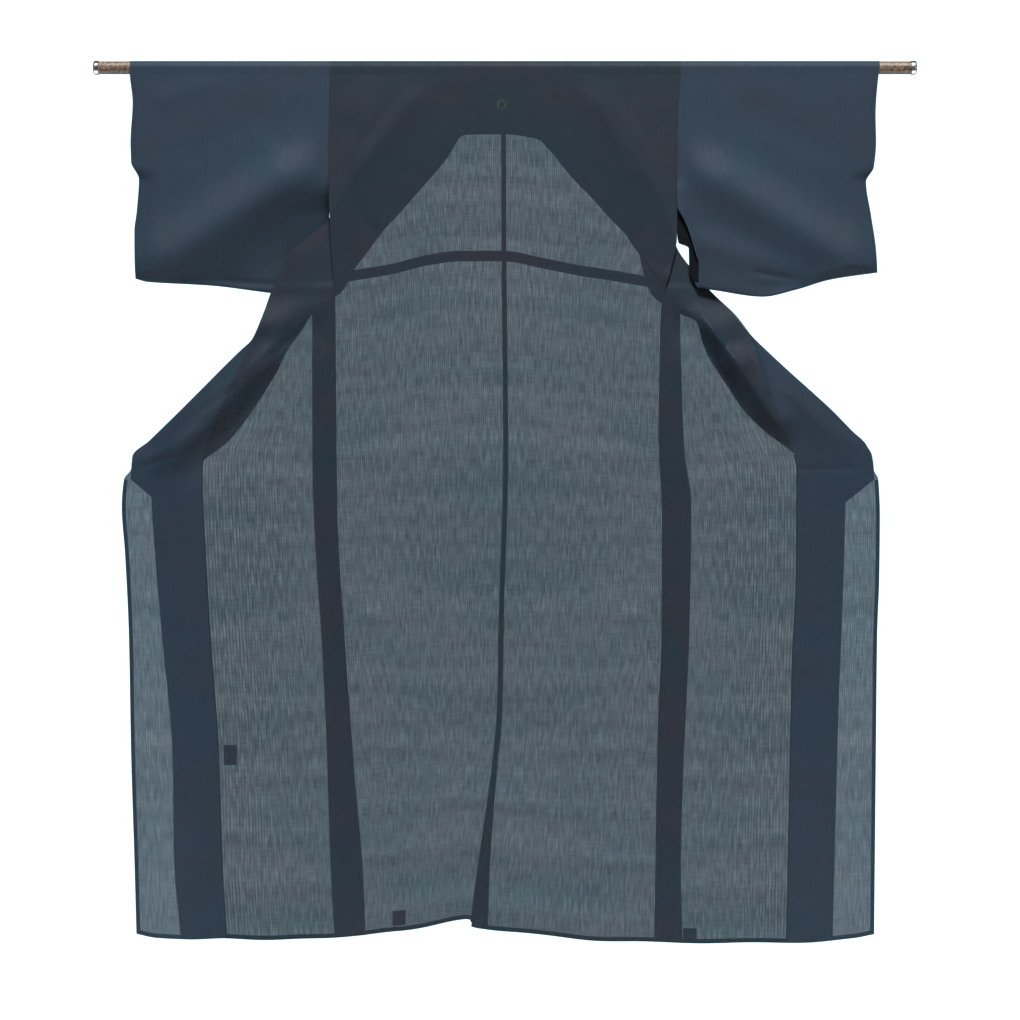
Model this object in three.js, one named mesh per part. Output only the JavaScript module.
// A sheer unlined kimono hanging on a straight rod, with both fronts held open.
// Millimetres, +Z up. The wearer's back faces -Y and the wearer's left is -X.
// The origin is on the rod's axis at the middle of the shoulders, so a place on the
// garment is given by how far it is across (X) and how far it drops below the rod (-Z).
import * as THREE from 'three';

// ---------------------------------------------------------------- driving dimensions
const WALL = 1.2; // thickness of every cloth wall
const SEAM_GAP = 0.3; // between two pieces along a seam
const LAYER = WALL + SEAM_GAP; // from the middle of one layer to the next one's
const HEM_DROP = 1568; // from the rod's axis to the hem's usual level
const SHOULDER_DROP = 5; // the shoulder line lies just over the rod, on its far side
const COLLAR_LIFT = 5; // how far the collar hangs clear of the panel in front of it
const OPENED_START = 405; // the fronts ease into the body's plane from here
const TURNED_END = 490; // and lie in it from here down
const TUCK_WIDTH = 19;
const TUCK_DROP = 350; // usual level of the tuck's upper edge
const ARMHOLE_DROP = 198; // the sleeve is sewn to the body down to here

const ROD = { radius: 11.5, halfLength: 731, sides: 32 };
const CAP = { radius: 12.4, length: 9, rounding: 3 };
const ON_ROD = ROD.radius + 0.9 + WALL / 2; // radius of the cloth's middle over the rod
const BODY_DEPTH = -7; // the plane that the body hangs in, below the rod
const OPENED_SLOPE = 0.02; // how the opened fronts lean away from the viewer behind

const NAVY = { color: 0x26323f, roughness: 0.85, metalness: 0 };
const DOUBLED_NAVY = { color: 0x1c2631, roughness: 0.85, metalness: 0 };
const ROD_BROWN = { color: 0x6b5647, roughness: 0.45, metalness: 0.2 };
const CAP_METAL = { color: 0xc8c8c6, roughness: 0.3, metalness: 0.9 };

/** Rows of numbers under named columns. */
function table(columns, ...rows) {
  return rows.map((row) => Object.fromEntries(columns.map((name, i) => [name, row[i]])));
}

// The levels at which the body's sections lie.
const BODY_LEVELS = [
  25, 49, 98, 148, 190, 230, 272, 308, 331, TUCK_DROP, TUCK_DROP + TUCK_WIDTH, 405, 443,
  490, 520, 550, 580, 610, 640, 671, 702, 724, 751, 806, 877, 941, 1028, 1138, 1219, 1330,
  1460, HEM_DROP,
];

// Each seam or edge: how far across it is at each drop.
const ACROSS_AT = ['drop', 'across'];
const SIDE_SEAM = {
  left: table(ACROSS_AT, [0, -314], [198, -316], [308, -312], [405, -306], [650, -304],
    [806, -302], [1028, -289], [1265, -272], [1460, -256], [HEM_DROP, -252]),
  right: table(ACROSS_AT, [0, 316], [98, 309], [308, 308], [350, 300], [405, 286],
    [443, 281], [670, 277], [806, 283], [1028, 282], [1172, 277], [HEM_DROP, 274]),
};
const SIDE_MARGIN = {
  left: table(ACROSS_AT, [443, -347], [733, -346], [877, -340], [1028, -330],
    [1235, -320], [1427, -314], [HEM_DROP, -306]),
  right: table(ACROSS_AT, [443, 315], [670, 322], [783, 335], [979, 331], [1172, 328],
    [HEM_DROP, 329]),
};
const CENTRE_SEAM = table(ACROSS_AT, [0, -6], [335, -5], [704, -2], [983, -10],
  [1148, -13], [1258, -22], [1370, -36], [1462, -48], [HEM_DROP, -61]);
const CENTRE_MARGIN_WIDTH = table(['drop', 'width'], [0, 7], [1250, 9], [1400, 16],
  [HEM_DROP, 30]);
const OVERLAP_SEAM = {
  left: table(ACROSS_AT, [490, -454], [547, -481], [601, -506], [640, -520], [691, -542],
    [733, -545], [877, -539], [1028, -530], [1219, -516], [1460, -507], [HEM_DROP, -500]),
  right: table(ACROSS_AT, [490, 440], [550, 462], [605, 484], [652, 504], [682, 515],
    [724, 525], [911, 524], [1066, 517], [1330, 511], [HEM_DROP, 506]),
};
const OVERLAP_MARGIN = {
  left: table(ACROSS_AT, [490, -457], [580, -516], [702, -628], [751, -637], [877, -630],
    [1028, -617], [1235, -599], [1427, -596], [HEM_DROP, -584]),
  right: table(ACROSS_AT, [490, 443], [580, 505], [702, 608], [751, 613], [979, 607],
    [1172, 600], [HEM_DROP, 590]),
};
const FRONT_EDGE = {
  left: table(ACROSS_AT, [490, -460], [536, -502], [610, -576], [671, -639], [702, -668],
    [724, -674], [740, -686], [790, -690], [877, -684], [1028, -677], [1235, -673],
    [1427, -667], [HEM_DROP, -663]),
  right: table(ACROSS_AT, [490, 449], [536, 497], [585, 553], [652, 622], [698, 661],
    [724, 664], [740, 672], [807, 675], [911, 674], [1028, 670], [1235, 668],
    [HEM_DROP, 665]),
};
// How far the hem dips below (or stands above) its usual level, across the garment.
const HEM_DIP = table(['across', 'dip'], [-664, -10], [-625, -2], [-565, 2], [-500, -2],
  [-420, 2], [-345, -2], [-263, -6], [-189, -17], [-70, -33], [-50, -26], [29, -13],
  [92, -5], [173, 2], [279, 5], [420, 7], [540, 6], [625, 0], [666, -8]);
// How far the tuck's upper edge bows away from its usual level.
const TUCK_BOW = table(['across', 'dip'], [-460, 0], [-308, 20], [-274, 15], [-202, 3],
  [-142, -12], [-79, -20], [-6, -20], [74, -6], [134, 6], [194, 15], [245, 24], [300, 32],
  [460, 0]);

// Each front is turned back over itself from the neck point to the top of the side seam,
// because its edge is pulled out to the side. Depths are along Y.
const TURNED = ['drop', 'sideDepth', 'fold', 'foldDepth', 'edge', 'edgeDepth'];
const TURNED_FRONT = {
  left: table(TURNED,
    [5, 13, -98, 13, -90, 13],
    [15, 12.8, -104, 12.6, -100, 19.5],
    [27, 12.4, -113, 12.8, -118, 21.3],
    [38, 11.5, -124, 13.0, -138, 19.5],
    [49, 11.0, -135, 13.0, -157, 18.0],
    [98, 8.5, -160, 11.5, -198, 16.0],
    [148, 6.0, -178, 9.0, -239, 13.0],
    [190, 4.2, -192, 7.0, -268, 11.0],
    [230, 2.0, -207, 4.5, -293, 9.0],
    [272, -1.0, -222, 2.5, -317, 8.0],
    [308, -3.2, -243, 1.0, -359, 7.5],
    [331, -3.0, -262, 0.0, -387, 7.0],
    [369, -3.0, -290, 0.0, -405, 6.5],
    [405, -4.2, -314, 1.0, -421, 6.0],
    [443, -6.5, -347, -3.0, -434, 5.0],
    [490, -6.8, -347, -4.0, -454, 4.0]),
  right: table(TURNED,
    [5, 13, 98, 13, 90, 13],
    [15, 12.8, 104, 12.6, 100, 19.5],
    [27, 12.4, 113, 12.8, 118, 21.3],
    [38, 11.5, 122, 13.0, 136, 19.5],
    [49, 11.0, 131, 13.0, 153, 18.0],
    [98, 8.5, 153, 11.5, 193, 16.0],
    [148, 6.0, 168, 9.0, 229, 13.0],
    [190, 4.2, 180, 7.0, 255, 11.0],
    [230, 2.0, 192, 4.5, 279, 9.0],
    [272, -1.0, 206, 2.5, 295, 8.0],
    [308, -3.2, 222, 1.0, 304, 7.5],
    [331, -3.0, 238, 0.0, 313, 7.0],
    [369, -3.0, 266, 0.0, 341, 6.5],
    [405, -4.2, 296, 1.0, 374, 6.0],
    [443, -6.5, 315, -3.0, 411, 5.0],
    [490, -6.8, 317, -4.0, 449, 4.0]),
};

// The collar, from one end round the neck to the other: its sewn edge and its free edge.
const BAND = ['seam', 'seamDrop', 'seamDepth', 'free', 'freeDrop', 'freeDepth'];
const COLLAR = table(BAND,
  [-673, 742, 4, -600, 804, 3],
  [-670, 700, 4, -572, 742, 3],
  [-639, 671, 4, -540, 704, 3],
  [-607, 640, 5, -510, 671, 4],
  [-576, 610, 5, -484, 644, 4],
  [-540, 574, 6, -459, 608, 4],
  [-502, 536, 7, -437, 569, 5],
  [-474, 509, 8, -420, 536, 6],
  [-454, 490, 9, -405, 505, 8],
  [-434, 443, 11, -370, 468, 9],
  [-421, 405, 12, -347, 443, 9],
  [-404, 367, 12.5, -318, 420, 9],
  [-387, 331, 12.5, -292, 400, 9],
  [-359, 308, 12.5, -273, 364, 10],
  [-317, 272, 13, -247, 329, 11],
  [-293, 230, 14, -220, 293, 12],
  [-268, 190, 16, -190, 260, 13],
  [-239, 148, 18, -153, 218, 14.5],
  [-198, 98, 21, -122, 182, 16.5],
  [-157, 49, 23.5, -101, 155, 18.5],
  [-128, 25, 25, -92, 139, 18],
  [-97, 10, 22.5, -80, 122, 16.5],
  [-82, 5.3, 13.4, -72, 119, 15.5],
  [-42, 5.3, 13, -42, 118, 15],
  [0, 5.3, 13, 0, 118, 15],
  [42, 5.3, 13, 38, 122, 15],
  [82, 5.3, 13.4, 62, 128, 15.5],
  [97, 10, 22.5, 76, 142, 16.5],
  [128, 25, 25, 88, 154, 18],
  [153, 49, 23.5, 100, 170, 18.5],
  [193, 98, 21, 124, 199, 16.5],
  [229, 148, 18, 155, 231, 14.5],
  [255, 190, 16, 186, 266, 13],
  [279, 230, 14, 215, 296, 12],
  [295, 272, 13, 240, 326, 11],
  [308, 322, 12.5, 248, 362, 10],
  [335, 362, 12.5, 262, 404, 9],
  [372, 405, 12, 302, 436, 9],
  [405, 437, 11, 345, 458, 9],
  [428, 468, 9, 362, 487, 9],
  [449, 490, 9, 378, 517, 8],
  [482, 521, 8, 394, 542, 6],
  [516, 552, 6, 412, 568, 5],
  [553, 585, 5, 436, 612, 4],
  [589, 618, 5, 466, 652, 4],
  [622, 652, 4, 510, 686, 3],
  [650, 680, 4, 546, 716, 3],
  [662, 712, 4, 580, 762, 3],
  [664, 742, 4, 592, 800, 3]);

// Soft pulls in the cloth, from one place to another: half-width and swell towards -Y.
const PULL = ['fromAcross', 'fromDrop', 'toAcross', 'toDrop', 'reach', 'swell'];
const PULLS = table(PULL,
  [-300, 330, -640, 715, 30, 5],
  [-305, 410, -575, 715, 28, -6],
  [-310, 490, -500, 740, 32, 4],
  [295, 372, 640, 712, 30, 5],
  [275, 392, 500, 700, 28, -6],
  [300, 480, 480, 750, 32, 4],
  [-135, 10, -288, 220, 28, 2.5],
  [-216, 0, -288, 112, 26, 2],
  [135, 12, 261, 240, 30, 2]);
// Upright waves that grow from a level down to the hem.
const WAVES = table(['across', 'reach', 'fromDrop', 'swell'],
  [-640, 42, 900, 6], [-572, 46, 850, -7], [-480, 48, 800, 8], [-395, 50, 900, -6],
  [-320, 44, 1000, 7], [-238, 46, 850, -9], [-150, 62, 800, 24], [-76, 40, 900, -12],
  [-15, 40, 1000, 8], [70, 60, 900, -8], [162, 60, 850, 9], [250, 52, 900, -6],
  [345, 60, 900, 8], [440, 60, 850, -8], [530, 52, 900, 7], [620, 50, 900, -6]);

// The sleeves' outlines: the mouth edge, the inner edge, and how low the bottom lies.
const SLEEVE = {
  left: {
    mouth: table(ACROSS_AT, [-13, -674], [9, -674], [63, -669], [135, -673], [171, -672],
      [200, -659], [259, -663], [293, -667], [381, -665]),
    inner: table(ACROSS_AT, [198, -316.6], [265, -319], [414, -325]),
    bottom: table(['across', 'drop'], [-665, 381], [-642, 387], [-529, 392], [-421, 405],
      [-325, 414]),
    pushed: 27,
  },
  right: {
    mouth: table(ACROSS_AT, [-13, 676], [14, 671], [86, 666], [135, 667], [180, 663],
      [205, 650], [266, 659], [322, 667], [366, 670]),
    inner: table(ACROSS_AT, [198, 309], [247, 320], [301, 335], [353, 345], [398, 349]),
    bottom: table(['across', 'drop'], [349, 398], [380, 403], [463, 414], [524, 401],
      [587, 383], [670, 370]),
    pushed: -7,
  },
};
const SLEEVE_STATIONS = [0, 0.04, 0.12, 0.25, 0.4, 0.55, 0.68, 0.8, 0.9, 1];
const SLEEVE_LEVELS = [0.06, 0.14, 0.24, 0.35, 0.45, 0.52, 0.62, 0.73, 0.85, 0.95, 1];
const NOTCH_DROP = 205; // the mouth is open above this and sewn below it
const SEWN_HALF = WALL / 2 + 0.35; // from the middle of a sewn edge to each layer's middle
const HEM_HALF = 2.6; // the same at a free lower corner

// ---------------------------------------------------------------- numbers and lines
const mix = (a, b, share) => a + (b - a) * share;

/** Eases from 0 at t = 0 to 1 at t = 1. */
function ease(t) {
  const x = Math.min(Math.max(t, 0), 1);
  return x * x * (3 - 2 * x);
}

/** A smooth line through a table's rows that never overshoots them. */
function lineThrough(rows, from, to) {
  const x = rows.map((row) => row[from]);
  const y = rows.map((row) => row[to]);
  const slope = x.slice(1).map((_, i) => (y[i + 1] - y[i]) / (x[i + 1] - x[i]));
  const tangent = x.map((_, i) => {
    if (i === 0) return slope[0];
    if (i === x.length - 1) return slope[i - 1];
    const [before, after] = [slope[i - 1], slope[i]];
    return before * after <= 0 ? 0 : (2 * before * after) / (before + after);
  });
  return (at) => {
    const inside = Math.min(Math.max(at, x[0]), x[x.length - 1]);
    let i = 0;
    while (i < x.length - 2 && inside > x[i + 1]) i += 1;
    const step = x[i + 1] - x[i];
    const t = (inside - x[i]) / step;
    const bend = ease(t);
    const lean = t * (1 - t) * step;
    return mix(y[i], y[i + 1], bend) + lean * ((1 - t) * tangent[i] - t * tangent[i + 1]);
  };
}

const linesOf = (tables) => ({
  left: lineThrough(tables.left, 'drop', 'across'),
  right: lineThrough(tables.right, 'drop', 'across'),
});
const sideSeam = linesOf(SIDE_SEAM);
const sideMargin = linesOf(SIDE_MARGIN);
const overlapSeam = linesOf(OVERLAP_SEAM);
const overlapMargin = linesOf(OVERLAP_MARGIN);
const frontEdge = linesOf(FRONT_EDGE);
const centreSeam = lineThrough(CENTRE_SEAM, 'drop', 'across');
const centreMarginWidth = lineThrough(CENTRE_MARGIN_WIDTH, 'drop', 'width');
const hemDip = lineThrough(HEM_DIP, 'across', 'dip');
const tuckBow = lineThrough(TUCK_BOW, 'across', 'dip');

// ---------------------------------------------------------------- how the cloth hangs
/** The drop of a place on one of the body's levels, which bow and dip across the body. */
function levelled(across, level) {
  const bow = tuckBow(across) * ease(level / TUCK_DROP) * ease((900 - level) / 500);
  const dip = hemDip(across) * ease((level - 1100) / (HEM_DROP - 1100));
  return level + bow + dip;
}

/** The drop of a level where it meets the side seam, and how far across the seam is there. */
const seamDrop = (side, level) => levelled(sideSeam[side](level), level);
const seamAcross = (side, level) => sideSeam[side](seamDrop(side, level));

/** Swell of the cloth towards -Y at a place, from its pulls and waves. */
function swellAt(across, drop) {
  let swell = 0;
  for (const pull of PULLS) {
    const along = new THREE.Vector2(pull.toAcross - pull.fromAcross, pull.toDrop - pull.fromDrop);
    const place = new THREE.Vector2(across - pull.fromAcross, drop - pull.fromDrop);
    const length = along.length();
    const t = place.dot(along) / (length * length);
    const off = place.cross(along) / length;
    const fade = ease(4 * t) * ease(4 * (1 - t));
    swell += pull.swell * fade * Math.exp(-((off / pull.reach) ** 2));
  }
  for (const wave of WAVES) {
    const grown = ease((drop - wave.fromDrop) / (HEM_DROP - wave.fromDrop));
    swell += wave.swell * grown * Math.exp(-(((across - wave.across) / wave.reach) ** 2));
  }
  return swell;
}

/** Depth of the body's cloth where it hangs in one plane, back and opened fronts alike. */
function bodyDepth(across, drop) {
  const hung = mix(-ON_ROD, BODY_DEPTH, ease(drop / 400));
  const opened = OPENED_SLOPE * Math.max(Math.abs(across) - 290, 0) * ease((drop - 300) / 200);
  return hung + opened - swellAt(across, drop) * ease(drop / 60);
}

const bodyPoint = (across, level) => {
  const drop = levelled(across, level);
  return new THREE.Vector3(across, bodyDepth(across, drop), -drop);
};

// ---------------------------------------------------------------- walls of cloth
/** The unit normals of a grid of points, rows running down and columns across. */
function gridNormals(grid, loop) {
  const rows = grid.length;
  const columns = grid[0].length;
  const column = (c) => (loop ? (c + columns) % columns : Math.min(Math.max(c, 0), columns - 1));
  return grid.map((row, r) => row.map((_, c) => {
    const below = grid[Math.min(r + 1, rows - 1)][c];
    const above = grid[Math.max(r - 1, 0)][c];
    const down = new THREE.Vector3().subVectors(below, above);
    const over = new THREE.Vector3().subVectors(row[column(c + 1)], row[column(c - 1)]);
    return down.cross(over).normalize();
  }));
}

/** A closed wall of cloth, WALL thick, with its middle moved out along its normals. */
function clothWall(grid, { loop = false, moved = 0 } = {}) {
  const rows = grid.length;
  const columns = grid[0].length;
  const normals = gridNormals(grid, loop);
  const positions = [];
  for (const outward of [moved + WALL / 2, moved - WALL / 2]) {
    grid.forEach((row, r) => row.forEach((point, c) => {
      positions.push(...point.clone().addScaledVector(normals[r][c], outward).toArray());
    }));
  }
  const skin = rows * columns;
  const at = (r, c) => r * columns + (c % columns);
  const faces = [];
  for (let r = 0; r < rows - 1; r += 1) {
    for (let c = 0; c < (loop ? columns : columns - 1); c += 1) {
      const [a, b, d, e] = [at(r, c), at(r + 1, c), at(r + 1, c + 1), at(r, c + 1)];
      faces.push(a, b, d, a, d, e);
      faces.push(skin + a, skin + d, skin + b, skin + a, skin + e, skin + d);
    }
  }
  const top = Array.from({ length: columns }, (_, c) => at(0, c));
  const bottom = Array.from({ length: columns }, (_, c) => at(rows - 1, c));
  const rims = [];
  if (loop) {
    rims.push([...bottom, bottom[0]], [...top, top[0]].reverse());
  } else {
    const first = Array.from({ length: rows }, (_, r) => at(r, 0));
    const last = Array.from({ length: rows }, (_, r) => at(r, columns - 1));
    rims.push([...first, ...bottom.slice(1), ...last.reverse().slice(1), ...top.reverse().slice(1)]);
  }
  for (const rim of rims) {
    for (let i = 0; i < rim.length - 1; i += 1) {
      const [p, q] = [rim[i], rim[i + 1]];
      faces.push(q, p, skin + p, q, skin + p, skin + q);
    }
  }
  const geometry = new THREE.BufferGeometry();
  geometry.setAttribute('position', new THREE.Float32BufferAttribute(positions, 3));
  geometry.setIndex(faces);
  geometry.computeVertexNormals();
  return geometry;
}

/** A grid of points from two lists and a function of both. */
const gridOf = (rows, columns, place) => rows.map((row) => columns.map((column) => place(row, column)));

/** Shares from 0 to 1 in even steps. */
const evenly = (steps) => Array.from({ length: steps + 1 }, (_, i) => i / steps);

/** A mirrored piece runs its columns the other way, so that its faces still point out. */
const facing = (side, grid) => (side === 'left' ? grid : grid.map((row) => [...row].reverse()));
const outward = (side) => (side === 'left' ? -1 : 1);

// ---------------------------------------------------------------- the back panels
const OVER_ROD_STEPS = 6; // facets of the cloth where it lies over the rod
const BACK_COLUMNS = 8;

/** The back panel's columns: across at a level, from the side seam to the centre seam. */
function backAcross(side, level, share) {
  const margin = centreMarginWidth(level) + SEAM_GAP;
  const centre = centreSeam(level) + (side === 'left' ? -1 : 1) * SEAM_GAP / 2;
  const rim = seamAcross(side, level) - outward(side) * SEAM_GAP / 2;
  const inner = centre + outward(side) * margin;
  const last = (BACK_COLUMNS - 1) / BACK_COLUMNS;
  return share <= last ? mix(rim, inner, share / last) : mix(inner, centre, (share - last) / (1 - last));
}

/** The back panel: over the rod from the shoulder line, then down to the hem. */
function backGrid(side) {
  const overRod = [-SHOULDER_DROP, ...evenly(OVER_ROD_STEPS).map((share) => share * 180)];
  const shares = evenly(BACK_COLUMNS);
  const lip = overRod.map((angle) => shares.map((share) => {
    const across = backAcross(side, 0, share);
    if (angle < 0) return new THREE.Vector3(across, ON_ROD, angle + SEAM_GAP / 2);
    const turn = THREE.MathUtils.degToRad(angle);
    return new THREE.Vector3(across, ON_ROD * Math.cos(turn), ON_ROD * Math.sin(turn));
  }));
  const hung = gridOf(BODY_LEVELS, shares, (level, share) => (
    bodyPoint(backAcross(side, level, share), level)
  ));
  return [...lip, ...hung];
}

// ---------------------------------------------------------------- the front panels
const FRONT_BEFORE_FOLD = 3;
const FRONT_AFTER_FOLD = 6;
const FOLD_RADIUS = 3;

const turned = Object.fromEntries(['left', 'right'].map((side) => [side, Object.fromEntries(
  TURNED.slice(1).map((name) => [name, lineThrough(TURNED_FRONT[side], 'drop', name)]),
)]));

/** A section of the turned part: side edge, round the fold, and out to the neck edge. */
function turnedSection(side, drop) {
  const t = turned[side];
  const place = (across, depth) => new THREE.Vector2(across, depth);
  const start = place(sideSeam[side](drop) + outward(side) * SEAM_GAP / 2, t.sideDepth(drop));
  const fold = place(t.fold(drop), t.foldDepth(drop));
  const end = place(t.edge(drop), t.edgeDepth(drop));
  const back = new THREE.Vector2().subVectors(start, fold);
  const on = new THREE.Vector2().subVectors(end, fold);
  const near = Math.min(FOLD_RADIUS, back.length() / 2, on.length() / 2);
  back.normalize();
  on.normalize();
  const closed = (1 + back.dot(on)) / 2; // 1 where the cloth is folded flat, 0 where it runs on
  const spread = new THREE.Vector2(-back.y, back.x).multiplyScalar(outward(side) * near * closed);
  const before = fold.clone().addScaledVector(back, near).sub(spread);
  const after = fold.clone().addScaledVector(on, near).add(spread);
  const straight = (from, to, steps) => evenly(steps).slice(0, -1).map((s) => from.clone().lerp(to, s));
  return [
    ...straight(start, before, FRONT_BEFORE_FOLD), before, fold, after,
    ...straight(after, end, FRONT_AFTER_FOLD).slice(1), end,
  ];
}

/** The same columns where the front lies opened in the body's plane. */
function openedSection(side, level) {
  const start = seamAcross(side, level) + outward(side) * SEAM_GAP / 2;
  const margin = sideMargin[side](level);
  const neckEdge = turned[side].edge;
  const end = level < TURNED_END ? neckEdge(levelled(neckEdge(level), level))
    : overlapSeam[side](level) - outward(side) * SEAM_GAP / 2;
  const before = evenly(FRONT_BEFORE_FOLD + 1).map((s) => mix(start, margin, s));
  const after = evenly(FRONT_AFTER_FOLD + 1).slice(1).map((s) => mix(margin, end, s));
  return [...before, ...after].map((across) => bodyPoint(across, level));
}

/** The front panel: from the shoulder line, turned back on itself, then opened to the side. */
function frontGrid(side) {
  const levels = [SHOULDER_DROP + SEAM_GAP / 2, 15, 27, 38, ...BODY_LEVELS.slice(1)];
  return levels.map((level) => {
    const opened = openedSection(side, Math.max(level, OPENED_START));
    const drop = seamDrop(side, level);
    const share = ease((drop - OPENED_START) / (TURNED_END - OPENED_START));
    return turnedSection(side, Math.min(drop, TURNED_END)).map((flat, c) => {
      const hung = new THREE.Vector3(flat.x, flat.y, -drop);
      return hung.lerp(opened[c], share);
    });
  });
}

// ---------------------------------------------------------------- the overlap panels
const OVERLAP_COLUMNS = 5;
const OVERLAP_MARGIN_COLUMNS = 3;
const OVERLAP_MARGIN_TOP = 751; // the margin starts at the collar's end
const OVERLAP_LEVELS = BODY_LEVELS.filter((level) => level > 500);

/** The overlap panel: from its seam, past its margin, to the front edge. */
function overlapGrid(side) {
  return gridOf(OVERLAP_LEVELS, evenly(OVERLAP_COLUMNS), (level, share) => {
    const seam = overlapSeam[side](level) + outward(side) * SEAM_GAP / 2;
    const margin = overlapMargin[side](level);
    const split = OVERLAP_MARGIN_COLUMNS / OVERLAP_COLUMNS;
    const across = share <= split ? mix(seam, margin, share / split)
      : mix(margin, frontEdge[side](level), (share - split) / (1 - split));
    return bodyPoint(across, level);
  });
}

// ---------------------------------------------------------------- margins and tucks
/** Part of a panel's grid, from one row and column to another. */
const partOf = (grid, fromRow, toRow, fromColumn, toColumn) => (
  grid.slice(fromRow, toRow + 1).map((row) => row.slice(fromColumn, toColumn + 1))
);

/** The row of a panel's grid that lies at a level. */
const rowAt = (grid, levels, level) => grid.length - levels.length + levels.indexOf(level);

/** A grid drawn in at its rim, so that a strip stays inside the panel that it lies on. */
function drawnIn(grid, by) {
  const rows = grid.map((row) => row.map((point) => point.clone()));
  const toward = (point, other) => point.addScaledVector(
    new THREE.Vector3().subVectors(other, point).normalize(), by,
  );
  rows.forEach((row) => {
    toward(row[0], row[1]);
    toward(row[row.length - 1], row[row.length - 2]);
  });
  return rows;
}

// ---------------------------------------------------------------- the collar
const COLLAR_COLUMNS = 4;
const collarLines = Object.fromEntries(BAND.map((name) => [name, COLLAR.map((row) => row[name])]));

/** The collar band, which hangs from the neckline on the garment's far side. */
function collarGrid() {
  return collarLines.seam.map((_, i) => evenly(COLLAR_COLUMNS).map((share) => {
    const between = (from, to) => mix(collarLines[from][i], collarLines[to][i], share);
    const across = between('seam', 'free');
    const drop = between('seamDrop', 'freeDrop');
    const onPanel = bodyDepth(across, drop) + COLLAR_LIFT;
    const follows = ease((drop - OPENED_START) / (TURNED_END - OPENED_START));
    return new THREE.Vector3(across, mix(between('seamDepth', 'freeDepth'), onPanel, follows), -drop);
  }));
}

// ---------------------------------------------------------------- the sleeves
/** A sleeve: a loop of cloth over the rod at each station, open at the mouth and inside. */
function sleeveGrid(side) {
  const outline = SLEEVE[side];
  const mouth = lineThrough(outline.mouth, 'drop', 'across');
  const free = lineThrough(outline.inner, 'drop', 'across');
  const inner = (drop) => (drop > ARMHOLE_DROP ? free(drop)
    : sideSeam[side](drop) + outward(side) * 2 * SEAM_GAP);
  const bottom = lineThrough(outline.bottom, 'across', 'drop');
  return SLEEVE_STATIONS.map((station) => {
    const lowest = bottom(mix(mouth(400), inner(400), station));
    const place = (drop, half, sign) => {
      const sewn = ease((drop - NOTCH_DROP + 25) / 25) * (1 - ease(station / 0.1));
      const opened = mix(half, SEWN_HALF, sewn);
      const pushed = outline.pushed * ease((station - 0.35) / 0.35) * ease((drop - ARMHOLE_DROP) / 80);
      const middle = pushed - 2 * station * ease(drop / ARMHOLE_DROP);
      return new THREE.Vector3(mix(mouth(drop), inner(drop), station), middle + sign * opened, -drop);
    };
    const overRod = evenly(6).map((share) => {
      const turn = Math.PI * share;
      const across = mix(mouth(0), inner(0), station);
      return new THREE.Vector3(across, ON_ROD * Math.cos(turn), ON_ROD * Math.sin(turn));
    });
    const halfAt = (drop) => mix(ON_ROD, HEM_HALF, Math.min(drop / (0.95 * lowest), 1));
    const drops = SLEEVE_LEVELS.slice(0, -1).map((share) => share * lowest);
    const near = drops.map((drop) => place(drop, halfAt(drop), -1));
    const far = drops.map((drop) => place(drop, halfAt(drop), 1)).reverse();
    return [...overRod, ...near, place(lowest, 0, 1), ...far];
  });
}

// ---------------------------------------------------------------- the rod
/** The rod and its rounded end caps lie along X. */
function rodGeometry() {
  const rod = new THREE.CylinderGeometry(ROD.radius, ROD.radius, 2 * ROD.halfLength, ROD.sides);
  return rod.rotateZ(Math.PI / 2);
}

function capGeometry(side) {
  const { radius, length, rounding } = CAP;
  const corner = evenly(4).map((share) => {
    const turn = share * Math.PI / 2;
    return new THREE.Vector2(
      radius - rounding + rounding * Math.cos(turn),
      length - rounding + rounding * Math.sin(turn),
    );
  });
  const onAxis = (along) => new THREE.Vector2(0, along);
  const profile = [onAxis(0), new THREE.Vector2(radius, 0), ...corner, onAxis(length)];
  const cap = new THREE.LatheGeometry(profile, ROD.sides);
  return cap.rotateZ(-outward(side) * Math.PI / 2)
    .translate(outward(side) * (ROD.halfLength + SEAM_GAP), 0, 0);
}

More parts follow.
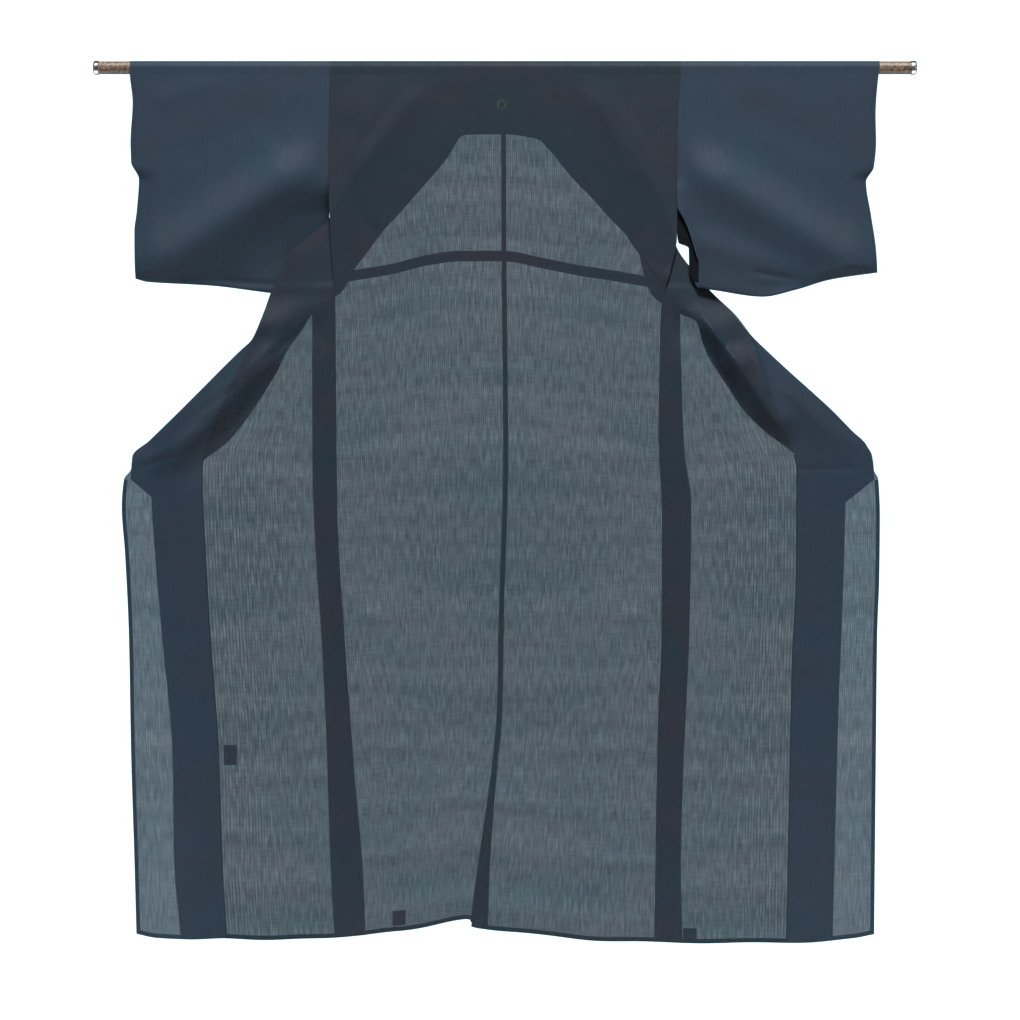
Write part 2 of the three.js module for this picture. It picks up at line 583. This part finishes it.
// ---------------------------------------------------------------- the garment
const group = new THREE.Group();
group.name = 'kimono_on_rod';

function add(name, geometry, finish) {
  const mesh = new THREE.Mesh(geometry, new THREE.MeshStandardMaterial(finish));
  mesh.name = name;
  group.add(mesh);
}

/** A panel, its faces pointing out on either side of the garment. */
const addPanel = (name, side, grid, loop = false) => (
  add(`${name}_${side}`, clothWall(facing(side, grid), { loop }), NAVY)
);

/** A doubled strip that lies one layer off the panel whose points it is made from. */
const addStrip = (name, side, strip, moved) => (
  add(name, clothWall(facing(side, drawnIn(strip, SEAM_GAP)), { moved }), DOUBLED_NAVY)
);

add('rod', rodGeometry(), ROD_BROWN);
for (const side of ['left', 'right']) {
  const back = backGrid(side);
  const front = frontGrid(side);
  const overlap = overlapGrid(side);
  add(`rod_cap_${side}`, capGeometry(side), CAP_METAL);
  addPanel('back', side, back);
  addPanel('front', side, front);
  addPanel('overlap', side, overlap);
  addPanel('sleeve', side, sleeveGrid(side), true);

  // The opened fronts' grids face the inside, where the margins lie, and the backs' face out.
  const fromRow = (grid, level) => rowAt(grid, BODY_LEVELS, level);
  const sideStrip = partOf(front, fromRow(front, TURNED_END), front.length - 1, 0, FRONT_BEFORE_FOLD + 1);
  addStrip(`side_margin_${side}`, side, sideStrip, LAYER);
  const overlapTop = fromRow(overlap, OVERLAP_MARGIN_TOP);
  const overlapStrip = partOf(overlap, overlapTop, overlap.length - 1, 0, OVERLAP_MARGIN_COLUMNS);
  addStrip(`overlap_margin_${side}`, side, overlapStrip, LAYER);
  const tuckTop = fromRow(back, TUCK_DROP);
  addStrip(`tuck_${side}`, side, partOf(back, tuckTop, tuckTop + 1, 0, BACK_COLUMNS - 1), -LAYER);
  if (side === 'right') {
    const top = fromRow(back, BODY_LEVELS[0]);
    const centreStrip = partOf(back, top, back.length - 1, BACK_COLUMNS - 1, BACK_COLUMNS);
    addStrip('centre_margin', side, centreStrip, -LAYER);
  }
}
add('collar', clothWall(collarGrid()), NAVY);

export default group;
